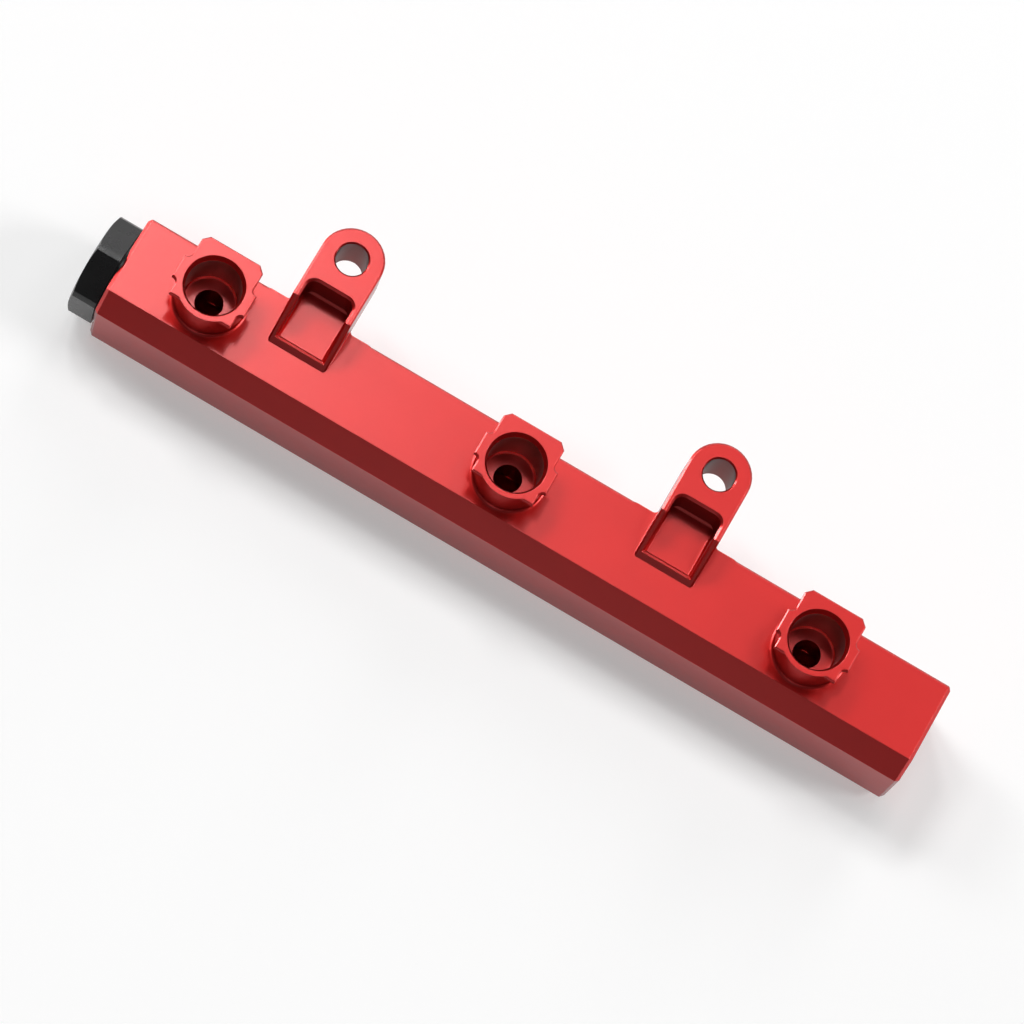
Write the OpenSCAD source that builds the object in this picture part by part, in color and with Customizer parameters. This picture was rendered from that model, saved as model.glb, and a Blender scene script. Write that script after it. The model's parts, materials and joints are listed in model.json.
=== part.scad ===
// Three-cup fuel rail machined from one aluminium bar, with two mounting
// tabs, an O-ring port plug in the left end and an open inlet port in the right.
// Frame: X along the rail, +Y towards the mounting tabs, +Z the way the cups open.
// The origin is on the underside, below the axis of the middle cup.

/* [Rail bar] */
// Width of the bar, front face to back face
bar_w = 26.7; // [26:0.1:30]
// Height of the bar, underside to top face
bar_h = 26.8; // [26.8:0.1:30]
// Bar left of the first cup's axis
left_run = 23.1; // [20:0.1:40]
// Bar right of the last cup's axis
right_run = 35.1; // [24:0.1:60]
// Leg of the large bevel along the top front edge
top_bevel = 5.2; // [2:0.1:6]
// Leg of the bevel along the bottom front edge
foot_bevel = 3.5; // [1:0.1:5]
// Leg of the chamfer round both ends of the bar
end_chamfer = 0.9; // [0.5:0.1:1.5]
// Leg of the small chamfer on the back edges
edge_break = 0.5; // [0.3:0.1:0.5]
// Sharp run of the top back edge each side of a tab, where the cutter can't reach
unbroken_run = 5.5; // [4:0.5:8]
// Diameter of the fuel gallery along the bar
gallery_d = 12.5; // [9:0.5:12.5]

/* [Injector cups] */
// Distance from one cup axis to the next
cup_pitch = 85; // [80:0.5:110]
// Cup axis behind the bar's front face
cup_setback = 16.2; // [15.5:0.1:16.2]
// Height of the cup's flange above the bar's top face
cup_h = 11.2; // [8:0.1:16]
// Outer diameter of the cup's round boss
boss_d = 18.2; // [17.6:0.1:18.2]
// Radius of the fillet at the foot of the boss
boss_fillet = 0.8; // [0.4:0.1:0.8]
// Diameter of the bore that the injector's O-ring slides in
cup_bore_d = 14; // [12:0.1:14.4]
// Diameter of the cup's mouth, at the top of the lead-in
mouth_d = 15.6; // [15:0.1:16.2]
// Depth of the conical lead-in
lead_in = 1.8; // [1:0.1:3]
// Depth of the cup from its flange to its floor
cup_depth = 14.5; // [12:0.1:15]
// Leg of the chamfer where the cup's wall meets its floor
floor_chamfer = 0.5; // [0.2:0.1:1]
// Diameter of the passage from the cup down to the gallery
passage_d = 7.2; // [5:0.1:8]

/* [Clip flange] */
// Thickness of the flange that the injector clip grips
flange_t = 1.6; // [1:0.1:2.5]
// Leg of the chamfer along the flange's top edge; the underside, where the clip bears, is sharp
flange_edge = 0.3; // [0.1:0.05:0.4]
// Width of the flange ahead of and behind its ears
flange_w = 17.1; // [16.4:0.1:17.6]
// Width of the flange across its two ears
ear_w = 20.2; // [20.2:0.1:22]
// Length of each ear along Y
ear_l = 6.2; // [4:0.1:8]
// Root radius where an ear leaves the flange's side
ear_root_r = 1.4; // [0.5:0.1:1.5]
// Front edge of the flange ahead of the cup's axis
flange_front = 7.2; // [6.8:0.1:8]
// Radius where the flange's front edge runs into the round boss
front_root_r = 1; // [0.5:0.1:1.5]
// Leg of the chamfer on the flange's two back corners
flange_corner = 1.6; // [0.5:0.1:2]

/* [Mounting tabs] */
// Distance between the two mounting holes
tab_pitch = 104; // [90:0.5:108]
// Middle of the two tabs from the middle cup, along X
tab_shift = -7.8; // [-10:0.1:-5]
// Width of a tab, and the diameter of its round end
tab_w = 16.4; // [14:0.1:18]
// Height of a tab's top above the bar's top face
tab_rise = 10.4; // [8:0.1:11]
// Thickness of a tab where it leaves the bar
tab_t = 14.1; // [12:0.1:18]
// Mounting hole behind the cup axes
tab_reach = 24; // [23:0.1:30]
// Diameter of the mounting hole, for an M8 screw
tab_hole_d = 8.2; // [6.6:0.1:9]
// Leg of the chamfer at both mouths of the mounting hole
tab_hole_chamfer = 0.4; // [0.2:0.1:1]
// Leg of the chamfer round the tab's edges
tab_edge = 0.5; // [0.3:0.1:0.8]
// Front edge of the tab's flat top behind the cup axes
ramp_top_y = 9; // [8.5:0.1:11]
// Length along Y of the ramp from the bar's top face to the tab's flat top
ramp_run = 10.6; // [9.5:0.1:11.5]
// Radius between a tab's side and the bar's back face
tab_root_r = 1.2; // [0.8:0.1:2]
// Wall left round the pocket in the tab, also at the foot of its ramp
pocket_wall = 1.8; // [1.5:0.1:2.5]
// Back of the pocket behind the cup axes
pocket_back_y = 14.8; // [13:0.1:16]
// Radius of the pocket's two back corners
pocket_r = 2.4; // [1.5:0.1:4]
// Floor of the pocket above the bar's top face
pocket_lift = 0.7; // [0.3:0.1:1]
// Leg of the chamfer round the pocket's mouth, on the ramp and on the flat top
mouth_chamfer = 0.6; // [0.3:0.1:0.7]
// Leg of the chamfer round the pocket's floor
pocket_chamfer = 0.6; // [0.2:0.1:0.7]

/* [Ports] */
// Axis of both ports below the bar's top face
port_drop = 13.3; // [13.2:0.1:13.3]
// Thread diameter of the plugged port in the left end, M18 x 1.5
plug_thread_d = 18; // [16:1:18]
// Spot face of the plugged port
plug_face_d = 25.6; // [24.8:0.1:25.8]
// Depth of the plugged port's spot face
plug_face_depth = 1; // [0.6:0.1:1.5]
// Depth of the plugged port's thread below its spot face
plug_port_depth = 14.5; // [13.5:0.1:16]
// Thread diameter of the open inlet port in the right end, M14 x 1.5
inlet_thread_d = 14; // [14:1:16]
// Spot face of the inlet port
inlet_face_d = 21; // [20.5:0.1:23]
// Depth of the inlet port's spot face
inlet_face_depth = 0.6; // [0.3:0.1:1]
// Depth of the inlet port's thread below its spot face
inlet_port_depth = 12.5; // [11:0.1:16]
// Radial width of a port's O-ring seat over its thread
seat_rise = 0.9; // [0.8:0.1:1]
// Depth of a port's O-ring seat
seat_depth = 2.4; // [2.3:0.1:2.6]
// Slope of a port's O-ring seat to its axis
seat_angle = 15; // [12:1:15]

/* [Port plug] */
// Hexagon of the plug's head, across its flats
plug_hex = 24; // [23:0.1:24]
// Turned diameter that trims the hexagon's corners
plug_corner_d = 26.8; // [25.6:0.1:26.8]
// Angle that the tightened hexagon stands away from a corner straight up
plug_turn = -0.9; // [-30:0.1:30]
// Height of the hexagon
plug_hex_h = 6.9; // [5:0.1:10]
// Drop of the chamfer on the end of the hexagon, at its corners
plug_drop = 0.5; // [0.3:0.1:0.8]
// Slope of that chamfer
plug_slope = 20; // [15:1:30]
// Diameter of the collar that seats on the spot face
plug_collar_d = 22.6; // [21.8:0.1:23]
// Gap that the collar leaves between the hexagon and the bar's end
plug_gap = 0.5; // [0.2:0.1:1]
// Length of the plug's thread below its neck
plug_thread_l = 9.5; // [7:0.1:10]
// Leg of the chamfer on the end of the plug's thread
plug_tip = 1; // [0.5:0.1:1.5]
// Radial clearance between the plug's thread and the port
thread_clearance = 0.1; // [0.1:0.05:0.2]
// Depth of the neck that the O-ring sits on, below the thread's nominal radius
neck_depth = 1.25; // [1.2:0.05:1.3]
// Radius of the O-ring's section once the plug is tight
ring_r = 1.2; // [1.15:0.05:1.25]

/* [Hidden] */
$fn = 96;
// Overlap of a cut past the surface that it opens, and reach of the deep blocks
over = 1;
deep = 80;
// Overlap where a round corner runs into the boss, so that no sliver is left between them
hair = 0.001;
// Slope of the cone that a drill leaves, off its cross-section
drill_slope = 31;
// Length over which the back edge's chamfer runs out
break_runout = 1;
// Flattening of the O-ring against the plug's collar
ring_flat = 0.05;

red = [0.80, 0.05, 0.05];
black = [0.05, 0.05, 0.055];
rubber_black = [0.02, 0.02, 0.02];

cup_xs = [-cup_pitch, 0, cup_pitch];
tab_xs = [tab_shift - tab_pitch / 2, tab_shift + tab_pitch / 2];
left_x = -cup_pitch - left_run;
right_x = cup_pitch + right_run;
bar_l = right_x - left_x;
mid_x = (left_x + right_x) / 2;
front_y = -cup_setback;
back_y = front_y + bar_w;
axis_y = front_y + bar_w / 2;
axis_z = bar_h - port_drop;

cup_top = bar_h + cup_h;
cup_floor = cup_top - cup_depth;
boss_r = boss_d / 2;

tab_top = bar_h + tab_rise;
tab_bottom = tab_top - tab_t;
ramp_foot_y = ramp_top_y - ramp_run;
ramp_slope = atan(tab_rise / ramp_run);
pocket_floor = bar_h + pocket_lift;
pocket_front_y = ramp_foot_y + pocket_wall;
pocket_w = tab_w - 2 * pocket_wall;
pocket_mid_y = (pocket_front_y + pocket_back_y) / 2;
pocket_l = pocket_back_y - pocket_front_y;
break_stop = tab_w / 2 + unbroken_run;

seat_waist = seat_rise - seat_depth * tan(seat_angle);
neck_r = plug_thread_d / 2 - neck_depth;
shank_r = plug_thread_d / 2 - thread_clearance;
collar_h = plug_face_depth + plug_gap;

// A rectangle with its four corners cut at 45 degrees
module cut_rect(w, h, leg) {
    a = w / 2;
    b = h / 2;
    polygon([
        [-a, leg - b],
        [leg - a, -b],
        [a - leg, -b],
        [a, leg - b],
        [a, b - leg],
        [a - leg, b],
        [leg - a, b],
        [-a, b - leg]
    ]);
}

// A deep block whose outer face passes through [x, y, z] and looks along
// the given angle in the YZ plane, with a chamfer at both of its ends along X
module faced_block(x, y, z, angle, length, leg) {
    translate([x, y, z])
        rotate([angle, 0, 0])
            translate([0, -deep, 0])
                linear_extrude(2 * deep, center = true)
                    cut_rect(length, 2 * deep, leg);
}

// The bar's cross-section, in the YZ plane
module bar_section() {
    polygon([
        [front_y + foot_bevel, 0],
        [back_y - edge_break, 0],
        [back_y, edge_break],
        [back_y, bar_h],
        [front_y + top_bevel, bar_h],
        [front_y, bar_h - top_bevel],
        [front_y, foot_bevel]
    ]);
}

// The plain bar, chamfered round both ends
module bar() {
    intersection() {
        translate([left_x, 0, 0])
            rotate([90, 0, 90])
                linear_extrude(bar_l)
                    bar_section();
        faced_block(mid_x, back_y, 0, 0, bar_l, end_chamfer);
        faced_block(mid_x, 0, bar_h, 90, bar_l, end_chamfer);
        faced_block(mid_x, front_y + top_bevel, bar_h, 135, bar_l, end_chamfer);
        faced_block(mid_x, front_y, 0, 180, bar_l, end_chamfer);
        faced_block(mid_x, front_y + foot_bevel, 0, 225, bar_l, end_chamfer);
        faced_block(mid_x, 0, 0, 270, bar_l, end_chamfer);
    }
}

// Cuts the small chamfer on the top back edge from x0 to x1, running out at both ends
module back_edge_cut(x0, x1) {
    cut = edge_break / sqrt(2);
    translate([0, back_y, bar_h])
        rotate([45, 0, 0])
            linear_extrude(2 * edge_break, center = true)
                polygon([
                    [x0, 0],
                    [x0 + break_runout, -cut],
                    [x1 - break_runout, -cut],
                    [x1, 0],
                    [x1, edge_break],
                    [x0, edge_break]
                ]);
}

// All that lies inside one upright face of the flange, which stands this far from the
// cup's axis at this heading, with the chamfer along its top edge
module flange_face(heading, distance) {
    rotate([90, 0, heading])
        linear_extrude(2 * deep, center = true)
            polygon([
                [-deep, 0],
                [distance, 0],
                [distance, flange_t - flange_edge],
                [distance - flange_edge, flange_t],
                [-deep, flange_t]
            ]);
}

// Cuts a hollow corner of the flange to a radius and carries its chamfer round
module root_cut(x, y, r) {
    wide = r + flange_edge + over;
    translate([x, y, 0])
        rotate_extrude($fn = 48)
            polygon([
                [0, -over],
                [r, -over],
                [r, flange_t - flange_edge],
                [wide, flange_t + over],
                [0, flange_t + over]
            ]);
}

// The flange that the injector clip grips, from its underside up
module flange() {
    side = flange_w / 2;
    tip = ear_w / 2;
    ear = ear_l / 2;
    corner = (side + back_y - flange_corner) / sqrt(2);
    root_y = flange_front + front_root_r;
    root_x = sqrt(pow(boss_r + front_root_r - hair, 2) - pow(root_y, 2));
    inner = (boss_r - over) / (boss_r + front_root_r);
    rotate_extrude()
        polygon([
            [0, 0],
            [boss_r, 0],
            [boss_r, flange_t - flange_edge],
            [boss_r - flange_edge, flange_t],
            [0, flange_t]
        ]);
    intersection() {
        flange_face(0, side);
        flange_face(180, side);
        flange_face(45, corner);
        flange_face(135, corner);
        flange_face(90, back_y);
        flange_face(270, flange_front);
    }
    intersection() {
        flange_face(0, tip);
        flange_face(180, tip);
        flange_face(90, ear);
        flange_face(270, ear);
    }
    for (sx = [-1, 1]) {
        for (sy = [-1, 1])
            difference() {
                intersection() {
                    flange_face(90 - sx * 90, tip);
                    translate([sx * (side + (ear_root_r - over) / 2),
                            sy * (ear + (ear_root_r - over) / 2), flange_t / 2])
                        cube([ear_root_r + over, ear_root_r + over, flange_t], center = true);
                }
                root_cut(sx * (side + ear_root_r), sy * (ear + ear_root_r), ear_root_r);
            }
        difference() {
            linear_extrude(flange_t)
                polygon([
                    [sx * root_x, -root_y],
                    [sx * root_x * inner, -root_y * inner],
                    [sx * root_x, over - flange_front]
                ]);
            root_cut(sx * root_x, -root_y, front_root_r);
        }
    }
}

// Outside of one cup, standing on the bar's top face
module cup_boss() {
    translate([0, 0, bar_h - over])
        cylinder(h = cup_h + over, r = boss_r);
    translate([0, 0, bar_h])
        rotate_extrude()
            difference() {
                translate([boss_r - over, -over])
                    square([boss_fillet + over, boss_fillet + over]);
                translate([boss_r + boss_fillet, boss_fillet])
                    circle(boss_fillet, $fn = 48);
            }
    translate([0, 0, cup_top - flange_t])
        flange();
}

// Bore of one cup, from its mouth down to the gallery
module cup_bore() {
    bore_r = cup_bore_d / 2;
    mouth_r = mouth_d / 2;
    slope = (mouth_r - bore_r) / lead_in;
    rotate_extrude()
        polygon([
            [0, axis_z],
            [passage_d / 2, axis_z],
            [passage_d / 2, cup_floor],
            [bore_r - floor_chamfer, cup_floor],
            [bore_r, cup_floor + floor_chamfer],
            [bore_r, cup_top - lead_in],
            [mouth_r + slope * over, cup_top + over],
            [0, cup_top + over]
        ]);
}

// Half-section of a tab's round end, right of the hole's axis
module tab_end_section() {
    r = tab_w / 2;
    polygon([
        [0, tab_bottom],
        [r - tab_edge, tab_bottom],
        [r, tab_bottom + tab_edge],
        [r, tab_top - tab_edge],
        [r - tab_edge, tab_top],
        [0, tab_top]
    ]);
}

// One tab before its pocket and hole are cut, with the hole's axis at x = 0
module tab_blank() {
    intersection() {
        union() {
            translate([0, tab_reach, (tab_top + tab_bottom) / 2])
                rotate([90, 0, 0])
                    linear_extrude(tab_reach - ramp_foot_y + over)
                        cut_rect(tab_w, tab_t, tab_edge);
            translate([0, tab_reach, 0])
                rotate_extrude()
                    tab_end_section();
        }
        faced_block(0, ramp_top_y, tab_top, 90 + ramp_slope, tab_w, tab_edge);
    }
    for (s = [-1, 1])
        translate([s * tab_w / 2, back_y, tab_bottom])
            linear_extrude(bar_h - tab_bottom)
                difference() {
                    translate([s * tab_root_r / 2, tab_root_r / 2])
                        square(tab_root_r, center = true);
                    translate([s * tab_root_r, tab_root_r])
                        circle(tab_root_r, $fn = 48);
                }
}

// Plan of the pocket in a tab, square in front and rounded behind
module pocket_plan() {
    r = pocket_r;
    half = pocket_w / 2;
    translate([-half, pocket_front_y])
        square([pocket_w, pocket_l - r]);
    translate([r - half, pocket_front_y])
        square([pocket_w - 2 * r, pocket_l]);
    for (s = [-1, 1])
        translate([s * (half - r), pocket_back_y - r])
            circle(r, $fn = 48);
}

// The widening of the pocket's mouth on the flat top
module top_flare() {
    c = mouth_chamfer;
    half = pocket_w / 2;
    wide = half + c + over;
    r = pocket_r;
    translate([0, pocket_back_y - r, tab_top - c])
        rotate([90, 0, 0])
            linear_extrude(pocket_l - r)
                polygon([[-half, 0], [half, 0], [wide, c + over], [-wide, c + over]]);
    translate([r - half, pocket_back_y, tab_top - c])
        rotate([90, 0, 90])
            linear_extrude(pocket_w - 2 * r)
                polygon([[-pocket_l, 0], [0, 0], [c + over, c + over], [-pocket_l, c + over]]);
    for (s = [-1, 1])
        translate([s * (half - r), pocket_back_y - r, tab_top - c])
            cylinder(h = c + over, r1 = r, r2 = r + c + over, $fn = 48);
}

// The widening of the pocket's mouth on the ramp
module ramp_flare() {
    c = mouth_chamfer;
    half = pocket_w / 2;
    wide = half + c + over;
    // Front wall's corner with the ramp, and how far the chamfer reaches from it
    corner_z = bar_h + pocket_wall * tan(ramp_slope);
    reach_y = c * cos(ramp_slope);
    reach_z = c * sin(ramp_slope);
    slope = (c - reach_z) / reach_y;
    intersection() {
        translate([0, ramp_top_y, tab_top])
            rotate([90 + ramp_slope, 0, 0])
                linear_extrude(2 * deep, center = true)
                    polygon([[-half, -c], [half, -c], [wide, over], [-wide, over]]);
        rotate([90, 0, 90])
            linear_extrude(tab_w, center = true)
                polygon([
                    [pocket_front_y - reach_y - over, corner_z - reach_z + over * slope],
                    [pocket_front_y, corner_z - c],
                    [pocket_back_y, corner_z - c],
                    [pocket_back_y, tab_top + over],
                    [pocket_front_y - reach_y - over, tab_top + over]
                ]);
    }
}

// The pocket in a tab, open upwards, chamfered round its floor and its mouth
module pocket_cut() {
    top_flare();
    ramp_flare();
    intersection() {
        translate([0, 0, pocket_floor])
            linear_extrude(deep)
                pocket_plan();
        translate([0, deep, pocket_floor + deep])
            rotate([90, 0, 0])
                linear_extrude(2 * deep)
                    cut_rect(pocket_w, 2 * deep, pocket_chamfer);
        translate([-deep, pocket_mid_y, pocket_floor + deep])
            rotate([90, 0, 90])
                linear_extrude(2 * deep)
                    cut_rect(pocket_l, 2 * deep, pocket_chamfer);
    }
}

// The mounting hole of a tab, chamfered at both mouths
module tab_hole() {
    r = tab_hole_d / 2;
    wide = r + tab_hole_chamfer;
    translate([0, tab_reach, 0])
        rotate_extrude()
            polygon([
                [0, tab_bottom - over],
                [wide + over, tab_bottom - over],
                [r, tab_bottom + tab_hole_chamfer],
                [r, tab_top - tab_hole_chamfer],
                [wide + over, tab_top + over],
                [0, tab_top + over]
            ]);
}

// Places the children on the ports' axis at x, with their +Z looking into the bar
module on_axis(x, side) {
    translate([x, axis_y, axis_z])
        rotate([0, side * 90, 0])
            children();
}

// An O-ring port cut into the bar's end, drawn about Z, going down from its spot face
module port_cut(face_d, face_depth, thread_d, depth) {
    r = thread_d / 2;
    waist = r + seat_waist;
    gallery_r = gallery_d / 2;
    rotate_extrude()
        polygon([
            [0, -face_depth - over],
            [face_d / 2, -face_depth - over],
            [face_d / 2, 0],
            [r + seat_rise, 0],
            [waist, seat_depth],
            [r, seat_depth + seat_waist],
            [r, depth],
            [gallery_r, depth + (r - gallery_r) * tan(drill_slope)],
            [0, depth + (r - gallery_r) * tan(drill_slope)]
        ]);
}

module rail_body() {
    color(red)
        difference() {
            union() {
                bar();
                for (x = cup_xs)
                    translate([x, 0, 0])
                        cup_boss();
                for (x = tab_xs)
                    translate([x, 0, 0])
                        tab_blank();
            }
            for (x = cup_xs)
                translate([x, 0, 0])
                    cup_bore();
            for (x = tab_xs)
                translate([x, 0, 0]) {
                    pocket_cut();
                    tab_hole();
                }
            back_edge_cut(left_x - over, tab_xs[0] - break_stop);
            back_edge_cut(tab_xs[0] + break_stop, tab_xs[1] - break_stop);
            back_edge_cut(tab_xs[1] + break_stop, right_x + over);
            on_axis(left_x + plug_face_depth, 1)
                port_cut(plug_face_d, plug_face_depth, plug_thread_d, plug_port_depth);
            on_axis(right_x - inlet_face_depth, -1)
                port_cut(inlet_face_d, inlet_face_depth, inlet_thread_d, inlet_port_depth);
            on_axis(left_x + plug_face_depth + plug_port_depth, 1)
                cylinder(h = bar_l - plug_face_depth - plug_port_depth
                         - inlet_face_depth - inlet_port_depth, d = gallery_d);
        }
}

// The plug: hexagon, collar, neck for the O-ring and threaded shank
module port_plug() {
    corner_r = plug_corner_d / 2;
    end_z = -collar_h - plug_hex_h;
    thread_z = seat_depth + shank_r - neck_r;
    tip_z = seat_depth + plug_thread_l;
    color(black)
        on_axis(left_x + plug_face_depth, 1) {
            intersection() {
                translate([0, 0, end_z])
                    linear_extrude(plug_hex_h)
                        rotate(plug_turn)
                            circle(r = plug_hex / sqrt(3), $fn = 6);
                rotate_extrude()
                    polygon([
                        [0, end_z],
                        [corner_r - plug_drop / tan(plug_slope), end_z],
                        [corner_r, end_z + plug_drop],
                        [corner_r, -collar_h],
                        [0, -collar_h]
                    ]);
            }
            rotate_extrude()
                polygon([
                    [0, -collar_h - over],
                    [plug_collar_d / 2, -collar_h - over],
                    [plug_collar_d / 2, 0],
                    [neck_r, 0],
                    [neck_r, seat_depth],
                    [shank_r, thread_z],
                    [shank_r, tip_z - plug_tip],
                    [shank_r - plug_tip, tip_z],
                    [0, tip_z]
                ]);
        }
}

// The O-ring, squeezed between the plug's neck and collar and the port's seat
module plug_o_ring() {
    seat_top = plug_thread_d / 2 + seat_rise;
    seat_foot = plug_thread_d / 2 + seat_waist;
    color(rubber_black)
        on_axis(left_x + plug_face_depth, 1)
            rotate_extrude()
                intersection() {
                    translate([(neck_r + (seat_top + seat_foot) / 2) / 2, ring_r - ring_flat])
                        circle(ring_r, $fn = 48);
                    polygon([
                        [neck_r, 0],
                        [seat_top, 0],
                        [seat_foot, seat_depth],
                        [neck_r, seat_depth]
                    ]);
                }
}

rail_body();
port_plug();
plug_o_ring();
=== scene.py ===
"""Looks of the fuel rail: red anodised body, black port plug, rubber O-ring, pale studio.

Metres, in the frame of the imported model: X along the rail, Z up, cups upwards.
"""

import json
import math

import bmesh
import bpy
from mathutils import Matrix, Vector


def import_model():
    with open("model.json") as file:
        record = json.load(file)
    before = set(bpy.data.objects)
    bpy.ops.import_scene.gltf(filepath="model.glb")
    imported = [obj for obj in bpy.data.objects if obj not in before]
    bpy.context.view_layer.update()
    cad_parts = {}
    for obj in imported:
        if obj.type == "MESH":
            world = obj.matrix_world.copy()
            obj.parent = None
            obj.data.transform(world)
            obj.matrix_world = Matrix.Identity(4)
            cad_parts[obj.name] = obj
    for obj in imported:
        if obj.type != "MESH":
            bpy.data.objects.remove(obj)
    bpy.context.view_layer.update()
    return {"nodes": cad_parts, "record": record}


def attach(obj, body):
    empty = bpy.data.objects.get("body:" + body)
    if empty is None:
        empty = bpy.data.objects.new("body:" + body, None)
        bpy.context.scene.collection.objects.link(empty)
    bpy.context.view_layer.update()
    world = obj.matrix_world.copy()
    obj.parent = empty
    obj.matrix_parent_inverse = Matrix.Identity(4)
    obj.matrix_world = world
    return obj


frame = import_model()
MM = 0.001

# Camera: where it stands, and its right and forward directions.
CAM_AT = (0.008924, -0.39233, 1.25583)
CAM_RIGHT = (0.86263476, 0.48352086, 0.14855588)
CAM_FORWARD = (-0.00299526, 0.29856662, -0.95438409)
CAM_LENS_MM = 185.3
CAM_SENSOR_MM = 36.0
CAM_NEAR = 0.01
CAM_FAR = 50.0

# Finishes, as linear colours.
RED = (0.62, 0.017, 0.015)
# Lighter red of the edges: a painted highlight along them.
EDGE_HIGHLIGHT_RED = (0.8, 0.16, 0.14)
# Cup walls: a pale grey-pink, a painted reflection. Tab holes: a dark grey, painted shade and
# reflection.
CUP_WALL_PAINTED_SHEEN = (0.66, 0.38, 0.36)
CUP_FLOOR = (0.62, 0.03, 0.028)
HOLE_PAINTED_SHADE = (0.3, 0.14, 0.13)
BLACK = (0.011, 0.011, 0.0114)
BLACK_WORN = (0.03, 0.03, 0.031)
RUBBER = (0.016, 0.016, 0.017)
DUST = (0.05, 0.048, 0.045)

# Tint of what the red metal mirrors at a grazing angle, on the outside and in the cups.
GRAZING = (0.12, 0.12, 0.12)
GRAZING_CUP = (0.9, 0.9, 0.9)

# Red metal: its roughness and how far that varies, and how much smoother its edges are.
ROUGH = 0.40
ROUGH_VARIES = 0.02
EDGE_SMOOTHER = 0.06

# Its clear sealed layer, which is thinner in the mounting holes, reamed after sealing.
COAT = 0.9
HOLE_COAT = 0.35
COAT_ROUGH = 0.22
IOR = 1.5

# Broken edges: their radius, the turn of the normal (1 less its cosine) from which a point
# counts as edge and at which it is all edge, and how much of a lighter colour, a painted
# highlight, the edges of the red metal get.
EDGE_RADIUS = 0.16 * MM
EDGE_STARTS = 0.004
EDGE_FULL = 0.12
EDGE_HIGHLIGHT_SHARE = 0.5
BEVEL_SAMPLES = 6

# Tolerance by which a bore is told from the face round it.
SKIN = 0.02 * MM

# Bump depths and groove spacings of the red metal, the plug and the O-ring.
BLAST_DEPTH = 0.0012 * MM
RIPPLE_DEPTH = 0.0010 * MM
CUT_DEPTH = 0.0003 * MM
CUT_SPACING = 0.55 * MM
CUT_WANDERS = 5.0
RING_DEPTH = 0.0015 * MM
RING_SPACING = 0.32 * MM
PLUG_GRAIN_DEPTH = 0.0010 * MM
PLUG_CUT_SPACING = 0.3 * MM
RUBBER_GRAIN_DEPTH = 0.004 * MM

# A wandering groove changes its course over about this many groove spacings.
WANDER_REACH = 9

# Floor: its colour, roughness and size, and the share by which its shadow is lifted.
FLOOR = (1.0, 1.0, 1.0)
FLOOR_ROUGH = 0.9
FLOOR_SIZE = 12.0
FLOOR_LIFT = 0.38

# The inlet port's metric thread: pitch, depth, half widths of the ridge at its foot and crest,
# steps in a turn and in the run-out at each end, and how far its foot sinks into the wall.
THREAD_PITCH = 1.5 * MM
THREAD_DEPTH = 0.5413 * THREAD_PITCH
THREAD_FOOT = 0.4375 * THREAD_PITCH
THREAD_CREST = 0.125 * THREAD_PITCH
THREAD_STEPS = 72
THREAD_RUN_OUT = THREAD_STEPS // 3
THREAD_SINK = 0.03 * MM

# Softboxes: azimuth from the back towards the left, elevation, half width in degrees, strength.
LAMPS = {
    "side_right": (-72, 36, 9, 14),
    "low_left": (73, 6, 5, 30),
    "side_left": (72, 36, 9, 9),
    "key_back": (40, 52, 5, 25),
    "key_high": (60, 52, 5, 21),
    "spot_back": (24, 70, 3, 17),
    "low_back": (0, 20, 9, 4.5),
    "back": (0, 36, 9, 4),
    "top_back_right": (-40, 60, 9, 3.5),
    "key_top": (60, 60, 5, 5.5),
    "low_right": (-75, 10, 9, 1.5),
    "spot_mid": (16, 72, 3, 3),
    "low_front": (180, 10, 9, 0.6),
    "crown_back": (0, 76, 5, 1.3),
    "top_front": (180, 68, 9, 0.3),
}
LAMP_AWAY = 6.0
LAMP_AIM = Vector((0.0, 0.0, 0.02))
WORLD = 0.06


def add_object(name, data):
    """A new object in the scene."""
    obj = bpy.data.objects.new(name, data)
    bpy.context.scene.collection.objects.link(obj)
    return obj


def camera():
    """The photograph's view."""
    data = bpy.data.cameras.new("camera")
    data.lens = CAM_LENS_MM
    data.sensor_width = CAM_SENSOR_MM
    data.sensor_fit = "HORIZONTAL"
    data.clip_start = CAM_NEAR
    data.clip_end = CAM_FAR
    obj = add_object("camera", data)
    right, forward = Vector(CAM_RIGHT).normalized(), Vector(CAM_FORWARD).normalized()
    turn = Matrix((right, right.cross(forward), -forward)).transposed()
    obj.matrix_world = Matrix.Translation(Vector(CAM_AT)) @ turn.to_4x4()
    bpy.context.scene.camera = obj


def heading(azimuth, elevation):
    """Unit vector: azimuth 0 is the back, 90 the left."""
    a, e = math.radians(azimuth), math.radians(elevation)
    return Vector((-math.sin(a) * math.cos(e), math.cos(a) * math.cos(e), math.sin(e)))


def lamp(name, azimuth, elevation, half_width, strength):
    """A round softbox of this radiance, with a white floor as 1."""
    radius = LAMP_AWAY * math.tan(math.radians(half_width))
    data = bpy.data.lights.new(name, "AREA")
    data.shape = "DISK"
    data.size = 2 * radius
    data.energy = strength * math.pi * math.pi * radius * radius
    obj = add_object(name, data)
    to = heading(azimuth, elevation)
    obj.location = LAMP_AIM + to * LAMP_AWAY
    obj.rotation_mode = "QUATERNION"
    obj.rotation_quaternion = to.to_track_quat("Z", "Y")
    obj.visible_camera = False


def world(level):
    """Even low light from all round."""
    w = bpy.data.worlds.new("studio")
    bpy.context.scene.world = w
    w.use_nodes = True
    background = w.node_tree.nodes["Background"].inputs
    background["Color"].default_value = (1, 1, 1, 1)
    background["Strength"].default_value = level


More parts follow.
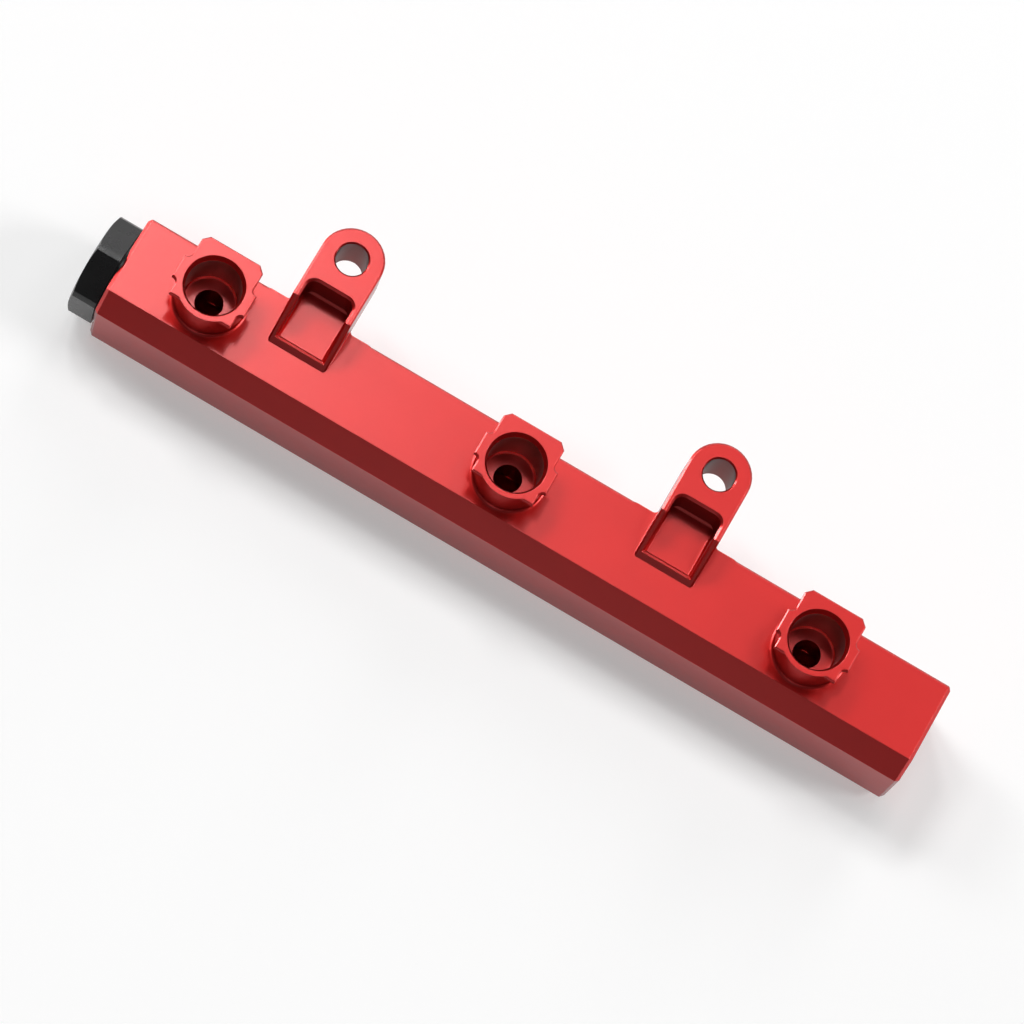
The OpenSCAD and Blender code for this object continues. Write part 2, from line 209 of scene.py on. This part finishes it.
def floor_plane():
    """The pale floor: its shadow is lifted for the camera and for what metal mirrors of it."""
    r = FLOOR_SIZE / 2
    mesh = bpy.data.meshes.new("floor")
    mesh.from_pydata([(-r, -r, 0), (r, -r, 0), (r, r, 0), (-r, r, 0)], [], [(0, 1, 2, 3)])
    obj = add_object("floor", mesh)
    m = Tree("floor_white")
    m.bsdf.inputs["Base Color"].default_value = (*FLOOR, 1)
    m.bsdf.inputs["Roughness"].default_value = FLOOR_ROUGH
    m.bsdf.inputs["Specular IOR Level"].default_value = 0.0
    rays = m.node("LightPath").outputs
    seen = m.math("MAXIMUM", rays["Is Glossy Ray"], rays["Is Transmission Ray"])
    seen = m.math("MAXIMUM", rays["Is Camera Ray"], seen)
    glow = m.node("Emission")
    glow.inputs["Color"].default_value = (1, 1, 1, 1)
    glow.inputs["Strength"].default_value = 1.0
    mix = m.node("MixShader")
    m.link(m.math("MULTIPLY", seen, FLOOR_LIFT), mix.inputs["Fac"])
    m.link(m.bsdf.outputs["BSDF"], mix.inputs[1])
    m.link(glow.outputs["Emission"], mix.inputs[2])
    m.link(mix.outputs["Shader"], m.t.nodes["Material Output"].inputs["Surface"])
    mesh.materials.append(m.mat)


class Tree:
    """Short names for building a material's nodes."""

    def __init__(self, name):
        self.mat = bpy.data.materials.new(name)
        self.mat.use_nodes = True
        self.t = self.mat.node_tree
        self.bsdf = self.t.nodes["Principled BSDF"]
        self.where = self.node("TexCoord").outputs["Object"]

    def node(self, kind, **values):
        """A new shader node with these properties."""
        n = self.t.nodes.new("ShaderNode" + kind)
        for k, v in values.items():
            setattr(n, k, v)
        return n

    def link(self, a, b):
        """Links output a to input b."""
        self.t.links.new(a, b)

    def feed(self, value, socket):
        """Links a socket, or writes a plain value."""
        if isinstance(value, bpy.types.NodeSocket):
            self.link(value, socket)
        else:
            socket.default_value = value

    def math(self, operation, a, b=0.0):
        """A sum, product or other operation on two numbers."""
        n = self.node("Math", operation=operation)
        self.feed(a, n.inputs[0])
        self.feed(b, n.inputs[1])
        return n.outputs["Value"]

    def vector(self, operation, a, b=(0, 0, 0)):
        """An operation on two vectors."""
        n = self.node("VectorMath", operation=operation)
        self.feed(a, n.inputs[0])
        self.feed(b, n.inputs[1])
        return n.outputs["Value" if operation in ("LENGTH", "DOT_PRODUCT") else "Vector"]

    def noise(self, per_metre, detail):
        """Noise from 0 to 1 with this many lumps in a metre."""
        n = self.node("TexNoise")
        n.inputs["Scale"].default_value = per_metre
        n.inputs["Detail"].default_value = detail
        self.link(self.where, n.inputs["Vector"])
        return n.outputs["Fac"]

    def span(self, value, lo, hi, out_lo=0, out_hi=1):
        """Maps lo..hi to out_lo..out_hi, clamped."""
        n = self.node("MapRange")
        for k, v in zip(("From Min", "From Max", "To Min", "To Max"), (lo, hi, out_lo, out_hi)):
            n.inputs[k].default_value = v
        self.link(value, n.inputs["Value"])
        return n.outputs["Result"]

    def patches(self, per_metre, detail, lo, hi, out_lo=0, out_hi=1):
        """Noise with this much of its range mapped to out_lo..out_hi."""
        return self.span(self.noise(per_metre, detail), lo, hi, out_lo, out_hi)

    def lines(self, along, spacing, wander=0.0):
        """Even grooves from 0 to 1: along is a length in metres, or a direction."""
        if isinstance(along, tuple):
            along = self.vector("DOT_PRODUCT", self.where, along)
        turn = self.math("MULTIPLY", along, 2 * math.pi / spacing)
        if wander:
            drift = self.noise(1 / (WANDER_REACH * spacing), 2.0)
            turn = self.math("ADD", turn, self.math("MULTIPLY", drift, wander))
        return self.math("MULTIPLY", self.math("ADD", self.math("SINE", turn), 1.0), 0.5)

    def blend(self, fac, a, b):
        """Colour a where fac is 0, b where it is 1."""
        n = self.node("Mix", data_type="RGBA")
        self.link(fac, n.inputs["Factor"])
        for key, v in (("A", a), ("B", b)):
            s = next(i for i in n.inputs if i.name == key and i.type == "RGBA")
            self.feed((*v, 1) if isinstance(v, tuple) else v, s)
        return next(o for o in n.outputs if o.type == "RGBA")

    def rounding(self, radius):
        """Normal rounded over this radius at edges, and how much of an edge each point is."""
        n = self.node("Bevel", samples=BEVEL_SAMPLES)
        n.inputs["Radius"].default_value = radius
        smooth = n.outputs["Normal"]
        flat = self.node("NewGeometry").outputs["Normal"]
        turned = self.math("SUBTRACT", 1.0, self.vector("DOT_PRODUCT", smooth, flat))
        return smooth, self.span(turned, EDGE_STARTS, EDGE_FULL)

    def bump(self, heights, start=None):
        """Bumps from (height socket, depth in metres) pairs, on top of the start normal."""
        last = start
        for h, depth in heights:
            n = self.node("Bump")
            n.inputs["Strength"].default_value = 1.0
            n.inputs["Distance"].default_value = depth
            self.link(h, n.inputs["Height"])
            if last is not None:
                self.link(last, n.inputs["Normal"])
            last = n.outputs["Normal"]
        self.link(last, self.bsdf.inputs["Normal"])

    def near_axes(self, axes, radius):
        """1 within this radius of one of these upright axes, and how far the nearest is."""
        nearest = None
        for at in axes:
            off = self.vector("SUBTRACT", self.where, tuple(at))
            away = self.vector("LENGTH", self.vector("MULTIPLY", off, (1, 1, 0)))
            nearest = away if nearest is None else self.math("MINIMUM", nearest, away)
        return self.math("LESS_THAN", nearest, radius), nearest


def scaled(colour, k):
    """The colour, this much lighter or darker."""
    return tuple(c * k for c in colour)


def mount_row(name):
    """A mount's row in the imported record."""
    return next(m for m in frame["record"]["mounts"] if m["name"] == name)


def mount(name):
    """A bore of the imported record: its place, radius and length, in metres."""
    row = mount_row(name)
    return Vector(row["pos_m"]), row["dims"]["r_mm"] * MM, row["dims"]["length_mm"] * MM


def mounting_holes():
    """Axes of the two tab holes, and their radius, in metres."""
    row = mount_row("mounting_holes")
    half = Vector((row["dims"]["spacing_x_mm"] * MM / 2, 0, 0))
    at = Vector(row["pos_m"])
    return [at - half, at + half], row["dims"]["hole_r_mm"] * MM


def red_anodised():
    """Satin red anodised aluminium: blasted grain, uneven dye, cut marks, and edges painted
    lighter as a highlight.
    """
    m = Tree("red_anodised")
    b = m.bsdf
    smooth, edge = m.rounding(EDGE_RADIUS)
    height = m.vector("DOT_PRODUCT", m.where, (0, 0, 1))

    cups = [mount(name) for name in ("cup_left", "cup_middle", "cup_right")]
    mouth, cup_r, cup_deep = cups[0]
    in_cup, from_cup = m.near_axes([at for at, _, _ in cups], cup_r + SKIN)
    wall = m.math("GREATER_THAN", height, mouth.z - cup_deep)
    holes, hole_r = mounting_holes()
    in_hole, _ = m.near_axes(holes, hole_r + SKIN)

    # The dye is uneven. The cup walls are a pale grey-pink, a painted reflection, and the tab
    # holes a dark grey, painted shade and reflection.
    tone = m.blend(m.patches(70, 2.0, 0.3, 0.7), scaled(RED, 0.98), scaled(RED, 1.02))
    tone = m.blend(m.patches(5200, 2.0, 0.35, 0.65, 0, 0.06), tone, scaled(RED, 0.8))
    tone = m.blend(in_cup, tone, m.blend(wall, CUP_FLOOR, CUP_WALL_PAINTED_SHEEN))
    tone = m.blend(in_hole, tone, HOLE_PAINTED_SHADE)
    # A lighter colour along the edges, in patches: a painted highlight.
    edge_wear_and_highlight = m.math("MULTIPLY", edge, m.patches(420, 3.0, 0.35, 0.6, 0.15, 1))
    tone = m.blend(m.math("MULTIPLY", edge_wear_and_highlight, EDGE_HIGHLIGHT_SHARE), tone, EDGE_HIGHLIGHT_RED)
    m.link(tone, b.inputs["Base Color"])
    m.link(m.blend(in_cup, GRAZING, GRAZING_CUP), b.inputs["Specular Tint"])

    blasted = m.patches(160, 3.0, 0.3, 0.7, ROUGH - ROUGH_VARIES, ROUGH + ROUGH_VARIES)
    rough = m.math("SUBTRACT", blasted, m.math("MULTIPLY", edge, EDGE_SMOOTHER))
    m.link(rough, b.inputs["Roughness"])

    # Blasted grain, a slow ripple, wandering cut marks, and turned rings in the cups.
    rings = m.lines(m.math("ADD", from_cup, height), RING_SPACING)
    m.bump([(m.noise(9000, 2.0), BLAST_DEPTH),
            (m.noise(900, 3.0), RIPPLE_DEPTH),
            (m.lines((0, 1, 1), CUT_SPACING, CUT_WANDERS), CUT_DEPTH),
            (m.math("MULTIPLY", rings, in_cup), RING_DEPTH)], smooth)

    b.inputs["Metallic"].default_value = 1.0
    b.inputs["IOR"].default_value = IOR
    b.inputs["Specular IOR Level"].default_value = 0.0
    b.inputs["Coat Roughness"].default_value = COAT_ROUGH
    b.inputs["Coat IOR"].default_value = IOR
    m.link(m.span(in_hole, 0, 1, COAT, HOLE_COAT), b.inputs["Coat Weight"])
    m.link(smooth, b.inputs["Coat Normal"])
    return m.mat


def black_anodised():
    """Black anodised aluminium of the plug, turned and milled, its edges rubbed grey."""
    m = Tree("black_anodised")
    b = m.bsdf
    smooth, edge = m.rounding(EDGE_RADIUS)
    tone = m.blend(m.patches(120, 2.0, 0.3, 0.7), scaled(BLACK, 0.85), scaled(BLACK, 1.2))
    edge_wear_and_highlight = m.math("MULTIPLY", edge, m.patches(500, 3.0, 0.35, 0.65, 0.1, 0.8))
    m.link(m.blend(edge_wear_and_highlight, tone, BLACK_WORN), b.inputs["Base Color"])
    m.link(m.patches(400, 3.0, 0.3, 0.7, 0.26, 0.31), b.inputs["Roughness"])
    m.bump([(m.noise(8000, 2.0), PLUG_GRAIN_DEPTH),
            (m.lines((1, 0, 0), PLUG_CUT_SPACING), CUT_DEPTH)], smooth)
    b.inputs["IOR"].default_value = IOR
    return m.mat


def black_rubber():
    """Nitrile rubber of the O-ring: dusty, with a fine moulded grain."""
    m = Tree("black_rubber")
    b = m.bsdf
    tone = m.blend(m.patches(900, 3.0, 0.3, 0.7), scaled(RUBBER, 0.8), scaled(RUBBER, 1.2))
    tone = m.blend(m.patches(350, 4.0, 0.55, 0.75, 0, 0.5), tone, DUST)
    m.link(tone, b.inputs["Base Color"])
    m.link(m.patches(1500, 3.0, 0.3, 0.7, 0.5, 0.6), b.inputs["Roughness"])
    m.bump([(m.noise(3000, 3.0), RUBBER_GRAIN_DEPTH)])
    return m.mat


def inlet_thread(material):
    """The inlet port's thread: one ridge wound inside the bore, along X."""
    outer, radius, length = mount("inlet_port")
    section = ((-THREAD_FOOT, 0.0), (-THREAD_CREST, 1.0), (THREAD_CREST, 1.0), (THREAD_FOOT, 0.0))
    steps = int(THREAD_STEPS * (length - 2 * THREAD_FOOT) / THREAD_PITCH)
    verts, faces = [], []
    for i in range(steps + 1):
        a = 2 * math.pi * i / THREAD_STEPS
        x = outer.x - THREAD_FOOT - THREAD_PITCH * i / THREAD_STEPS
        tall = min(1.0, i / THREAD_RUN_OUT, (steps - i) / THREAD_RUN_OUT)
        for dx, up in section:
            r = radius + THREAD_SINK - up * (THREAD_DEPTH * tall + THREAD_SINK)
            verts.append((x + dx, outer.y + r * math.cos(a), outer.z + r * math.sin(a)))
    n = len(section)
    for i in range(steps):
        for k in range(n):
            a, b = i * n + k, i * n + (k + 1) % n
            faces.append((a, b, b + n, a + n))
    faces.append(tuple(range(n)))
    faces.append(tuple(steps * n + k for k in reversed(range(n))))
    mesh = bpy.data.meshes.new("inlet_thread")
    mesh.from_pydata(verts, [], faces)
    mesh.validate()
    b = bmesh.new()
    b.from_mesh(mesh)
    bmesh.ops.recalc_face_normals(b, faces=b.faces)
    b.to_mesh(mesh)
    b.free()
    obj = add_object("inlet_thread", mesh)
    mesh.materials.append(material)
    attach(obj, "root")


def dress(node, material):
    """Gives a CAD node this material."""
    obj = frame["nodes"][node]
    obj.data.materials.clear()
    obj.data.materials.append(material)


camera()
world(WORLD)
floor_plane()
for name, values in LAMPS.items():
    lamp(name, *values)

red = red_anodised()
dress("rail_body", red)
dress("port_plug", black_anodised())
dress("plug_o_ring", black_rubber())
inlet_thread(red)

bpy.context.scene.view_settings.view_transform = "Standard"
